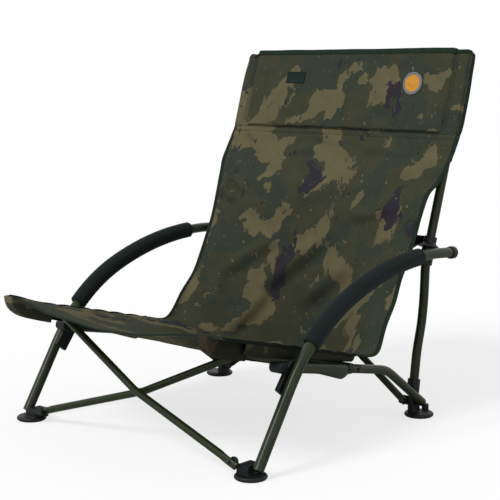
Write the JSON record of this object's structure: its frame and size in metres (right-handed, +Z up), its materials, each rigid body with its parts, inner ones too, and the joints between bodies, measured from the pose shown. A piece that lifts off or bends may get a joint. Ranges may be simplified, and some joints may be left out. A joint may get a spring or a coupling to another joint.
{
  "type": "folding chair",
  "caption": "Low folding fishing chair: bent tube side frames, crossed tubes front and back, camouflage cloth sling, foam arm grips and round feet.",
  "frame": {"origin": "on the floor, below the middle of the outline, with the chair open", "axes": "+Z up; the sitter faces -Y; +X is the sitter's left"},
  "size_m": [0.642, 0.75, 0.7124],
  "materials": {
    "green_paint": "satin olive green powder coat",
    "black_plastic": "moulded black",
    "foam": "closed-cell foam",
    "camo_cloth": "printed woven polyester",
    "dark_cloth": "woven webbing",
    "rivet_steel": "dull"
  },
  "bodies": {
    "side_right": {"leg_arm_tube_right": "green_paint", "arm_grip_right": "foam", "arm_end_cap_right": "black_plastic", "leg_bracket_right": "black_plastic", "side_rail_right": "green_paint", "rail_collar_right": "black_plastic", "back_post_right": "green_paint", "post_foot_collar_right": "black_plastic", "arm_bracket_right": "black_plastic", "seat_bar_rivet_right": "rivet_steel", "seat_bar_spacer_right": "black_plastic", "post_sleeve_right": "camo_cloth", "back_sling": "camo_cloth", "headrest": "camo_cloth"},
    "side_left": {"leg_arm_tube_left": "green_paint", "arm_grip_left": "foam", "arm_end_cap_left": "black_plastic", "leg_bracket_left": "black_plastic", "side_rail_left": "green_paint", "rail_collar_left": "black_plastic", "back_post_left": "green_paint", "post_foot_collar_left": "black_plastic", "arm_bracket_left": "black_plastic", "seat_bar_rivet_left": "rivet_steel", "seat_bar_spacer_left": "black_plastic", "post_sleeve_left": "camo_cloth"},
    "front_foot_right": {"front_foot_right": "black_plastic", "front_foot_bolt_right": "rivet_steel"},
    "rear_foot_right": {"rear_foot_right": "black_plastic", "rear_foot_bolt_right": "rivet_steel"},
    "seat_bar_right": {"seat_bar_right": "green_paint", "corner_pocket_right": "dark_cloth", "seat_sling": "camo_cloth"},
    "slider_right": {"post_slider_right": "black_plastic"},
    "front_foot_left": {"front_foot_left": "black_plastic", "front_foot_bolt_left": "rivet_steel"},
    "rear_foot_left": {"rear_foot_left": "black_plastic", "rear_foot_bolt_left": "rivet_steel"},
    "seat_bar_left": {"seat_bar_left": "green_paint", "corner_pocket_left": "dark_cloth"},
    "slider_left": {"post_slider_left": "black_plastic"},
    "front_cross_right": {"front_cross_tube_right": "green_paint", "front_cross_knuckle_right": "black_plastic", "front_cross_spacer": "black_plastic"},
    "front_cross_left": {"front_cross_tube_left": "green_paint", "front_cross_knuckle_left": "black_plastic"},
    "rear_cross_right": {"rear_cross_tube_right": "green_paint", "rear_cross_spacer": "black_plastic"},
    "rear_cross_left": {"rear_cross_tube_left": "green_paint"}
  },
  "joints": [
    {"name": "front_swivel_right", "type": "hinge", "parent": "side_right", "child": "front_foot_right", "pos_m": [-0.30011, -0.28264, 0.02943], "axis": [-1, 0, 0], "range_deg": [0, 27.7]},
    {"name": "fold", "type": "hinge", "parent": "front_foot_right", "child": "front_cross_right", "pos_m": [-0.254, -0.30101, 0.0245], "axis": [0, -0.9568, 0.2907], "range_deg": [0, 62.5], "deforming": ["seat_sling", "back_sling", "headrest", "post_sleeve_right", "post_sleeve_left"]},
    {"name": "front_crossing", "type": "hinge", "parent": "front_cross_right", "child": "front_cross_left", "pos_m": [0, -0.27775, 0.10105], "axis": [0, -0.9568, 0.2907], "range_deg": [-125, 0]},
    {"name": "front_foot_hinge_left", "type": "hinge", "parent": "front_cross_left", "child": "front_foot_left", "pos_m": [0.254, -0.30101, 0.0245], "axis": [0, -0.9568, 0.2907], "range_deg": [0, 62.5]},
    {"name": "front_swivel_left", "type": "hinge", "parent": "front_foot_left", "child": "side_left", "pos_m": [0.30011, -0.28264, 0.02943], "axis": [-1, 0, 0], "range_deg": [-27.7, 0]},
    {"name": "seat_bar_right_hinge", "type": "hinge", "parent": "side_right", "child": "seat_bar_right", "pos_m": [-0.25, 0.01972, 0.13219], "axis": [-1, 0, 0], "range_deg": [0, 83.5]},
    {"name": "seat_bar_left_hinge", "type": "hinge", "parent": "side_left", "child": "seat_bar_left", "pos_m": [0.25, 0.01972, 0.13219], "axis": [-1, 0, 0], "range_deg": [0, 83.5]},
    {"name": "rear_swivel_right", "type": "hinge", "parent": "side_right", "child": "rear_foot_right", "pos_m": [-0.27, 0.23034, 0.03144], "axis": [-1, 0, 0], "range_deg": [0, 4.9]},
    {"name": "rear_swivel_left", "type": "hinge", "parent": "side_left", "child": "rear_foot_left", "pos_m": [0.27, 0.23034, 0.03144], "axis": [-1, 0, 0], "range_deg": [0, 4.9]},
    {"name": "rear_foot_hinge_right", "type": "hinge", "parent": "rear_foot_right", "child": "rear_cross_right", "pos_m": [-0.24, 0.22599, 0.028], "axis": [0, -0.9952, 0.0981], "range_deg": [0, 49.8]},
    {"name": "rear_foot_hinge_left", "type": "hinge", "parent": "rear_foot_left", "child": "rear_cross_left", "pos_m": [0.24, 0.22599, 0.028], "axis": [0, 0.9952, -0.0981], "range_deg": [0, 49.8]},
    {"name": "slider_right_slide", "type": "slide", "parent": "side_right", "child": "slider_right", "axis": [-0.0206, 0.284, 0.9586], "range_m": [0, 0.255]},
    {"name": "slider_left_slide", "type": "slide", "parent": "side_left", "child": "slider_left", "axis": [0.0206, 0.284, 0.9586], "range_m": [0, 0.255]}
  ],
  "couplings": [
    {"joint": "front_swivel_right", "follows": "fold", "ratio": 0.4418},
    {"joint": "front_crossing", "follows": "fold", "ratio": -2},
    {"joint": "front_foot_hinge_left", "follows": "fold", "ratio": 1},
    {"joint": "front_swivel_left", "follows": "fold", "ratio": -0.4418},
    {"joint": "seat_bar_right_hinge", "follows": "fold", "ratio": 1.3346},
    {"joint": "seat_bar_left_hinge", "follows": "fold", "ratio": 1.3346},
    {"joint": "rear_swivel_right", "follows": "fold", "ratio": 0.0776},
    {"joint": "rear_swivel_left", "follows": "fold", "ratio": 0.0776},
    {"joint": "rear_foot_hinge_right", "follows": "fold", "ratio": 0.7966},
    {"joint": "rear_foot_hinge_left", "follows": "fold", "ratio": 0.7966},
    {"joint": "slider_right_slide", "follows": "fold", "m_per_rad": 0.2335},
    {"joint": "slider_left_slide", "follows": "fold", "m_per_rad": 0.2335}
  ]
}
